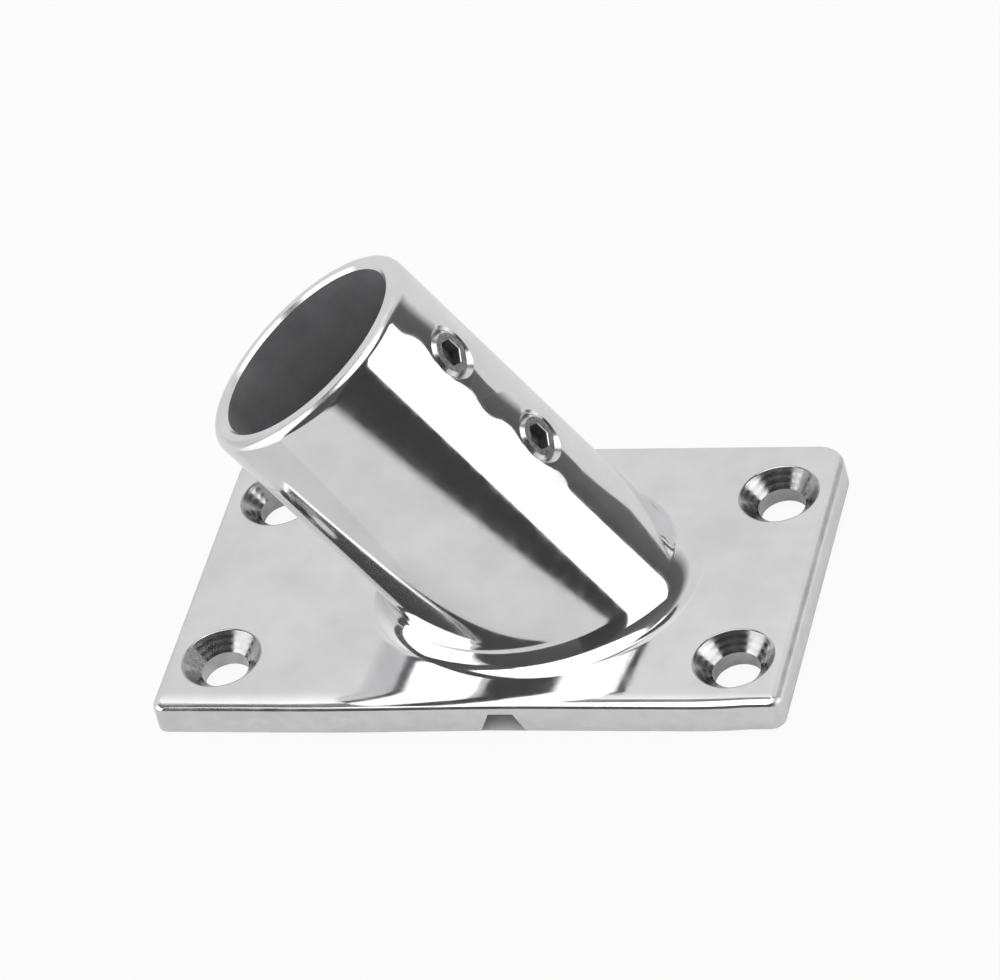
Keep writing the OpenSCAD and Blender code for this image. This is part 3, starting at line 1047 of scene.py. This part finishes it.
def add_floor(studio, drain, plate):
    """A pale floor that the camera sees as white, with the object's soft shadow."""
    bm = bmesh.new()
    bmesh.ops.create_circle(bm, cap_ends=True, radius=studio.floor_radius, segments=128)
    bmesh.ops.translate(bm, vec=(0, 0, -studio.floor_drop), verts=bm.verts[:])
    grey = studio.floor_grey
    paper = Finish("floor_paper", Base_Color=(grey, grey, grey, 1.0), Roughness=0.9)
    white = paper.add("ShaderNodeEmission", {"Strength": 1.0}).outputs["Emission"]
    seen = paper.add("ShaderNodeLightPath").outputs
    camera = paper.maths("MULTIPLY", seen["Is Camera Ray"], open_floor(paper, studio, drain, plate))
    metal = paper.maths("MULTIPLY", seen["Is Glossy Ray"], studio.floor_gloss)
    both = paper.maths("ADD", camera, metal)
    mix = paper.add("ShaderNodeMixShader", {0: both, 1: paper.shader.outputs["BSDF"], 2: white})
    paper.tree.links.new(mix.outputs[0], paper.tree.nodes["Material Output"].inputs["Surface"])
    paper.material.cycles.emission_sampling = "NONE"
    floor = new_piece("floor", bm, [paper.material])


def add_room(studio):
    """A plain grey-white room that the camera sees as white."""
    world = bpy.data.worlds.new("studio")
    bpy.context.scene.world = world
    world.use_nodes = True
    nodes = world.node_tree.nodes
    links = world.node_tree.links
    room = nodes["Background"]
    room.inputs["Color"].default_value = (1, 1, 1, 1)
    room.inputs["Strength"].default_value = studio.room
    white = nodes.new("ShaderNodeBackground")
    white.inputs["Color"].default_value = (1, 1, 1, 1)
    seen = nodes.new("ShaderNodeLightPath")
    mix = nodes.new("ShaderNodeMixShader")
    links.new(seen.outputs["Is Camera Ray"], mix.inputs[0])
    links.new(room.outputs["Background"], mix.inputs[1])
    links.new(white.outputs["Background"], mix.inputs[2])
    links.new(mix.outputs[0], nodes["World Output"].inputs["Surface"])


def add_lamp(studio):
    """A large soft lamp over the object, for the floor and the dull faces alone."""
    data = bpy.data.lights.new("overhead_lamp", "AREA")
    data.shape = "SQUARE"
    data.size = studio.lamp_size
    data.energy = studio.lamp
    lamp = bpy.data.objects.new("overhead_lamp", data)
    bpy.context.scene.collection.objects.link(lamp)
    lamp.location = studio.lamp_place
    lamp.rotation_euler = Vector(studio.lamp_place).to_track_quat("Z", "Y").to_euler()
    lamp.visible_glossy = False


class RAILBASE_OT_stage(bpy.types.Operator):
    """Set the pale floor, the soft studio light and the cards that the polish shows"""
    bl_idname = "railbase.stage"
    bl_label = "Stage"

    def execute(self, context):
        settings = context.scene.rail_base
        studio = settings.studio
        add_floor(studio, settings.drain, settings.plate)
        add_room(studio)
        add_lamp(studio)
        glow = card_glow()
        for name, (distance, *corners) in CARDS.items():
            add_card(name, [(turn, rise, distance, level) for turn, rise, level in corners], glow)
        for name, corners in FLOOR_CARDS.items():
            add_card(name, [(turn, FLOOR_ELEVATION, reach, level) for turn, reach, level in corners], glow)
        context.scene.view_settings.view_transform = "Standard"
        return {"FINISHED"}


class RAILBASE_OT_camera(bpy.types.Operator):
    """Set the camera at the photograph's viewing angle"""
    bl_idname = "railbase.camera"
    bl_label = "Camera"

    def execute(self, context):
        view = context.scene.rail_base.view
        cos_a, sin_a = math.cos(view.azimuth), math.sin(view.azimuth)
        cos_e, sin_e = math.cos(view.elevation), math.sin(view.elevation)
        back = Vector((sin_a * cos_e, -cos_a * cos_e, sin_e))
        right = Vector((cos_a, sin_a, 0))
        up = back.cross(right)
        turned = Matrix((right, up, back)).transposed() @ Matrix.Rotation(-view.roll, 3, "Z")
        data = bpy.data.cameras.new("photo_camera")
        data.sensor_fit = "HORIZONTAL"
        data.sensor_width = 36
        data.lens = view.focal_length
        camera = bpy.data.objects.new("photo_camera", data)
        bpy.context.scene.collection.objects.link(camera)
        camera.matrix_world = Matrix.Translation(Vector(view.target) + back * view.distance) @ turned.to_4x4()
        bpy.context.scene.camera = camera
        return {"FINISHED"}


class RAILBASE_PT_panel(bpy.types.Panel):
    """Lists the steps that build the rail base"""
    bl_idname = "RAILBASE_PT_panel"
    bl_label = "Rail Base"
    bl_space_type = "VIEW_3D"
    bl_region_type = "UI"
    bl_category = "Rail Base"

    def draw(self, context):
        for operator in OPERATORS:
            self.layout.operator(operator.bl_idname)


OPERATORS = (RAILBASE_OT_casting, RAILBASE_OT_grub_screws, RAILBASE_OT_stage, RAILBASE_OT_camera)
CLASSES = (
    PlateSizes, SocketSizes, BlendSizes, ScrewSizes, DrainSizes, FinishSettings, StudioSettings,
    ViewSettings, RailBaseSettings, *OPERATORS, RAILBASE_PT_panel,
)


def register():
    """Registers the classes and hangs the settings on the scene."""
    for item in CLASSES:
        bpy.utils.register_class(item)
    bpy.types.Scene.rail_base = PointerProperty(type=RailBaseSettings)


def unregister():
    """Takes the settings and the classes away again."""
    del bpy.types.Scene.rail_base
    for item in reversed(CLASSES):
        bpy.utils.unregister_class(item)


def main():
    """Builds the pieces and the studio."""
    register()
    bpy.ops.railbase.casting()
    bpy.ops.railbase.grub_screws()
    bpy.ops.railbase.stage()
    bpy.ops.railbase.camera()


if __name__ == "__main__":
    main()
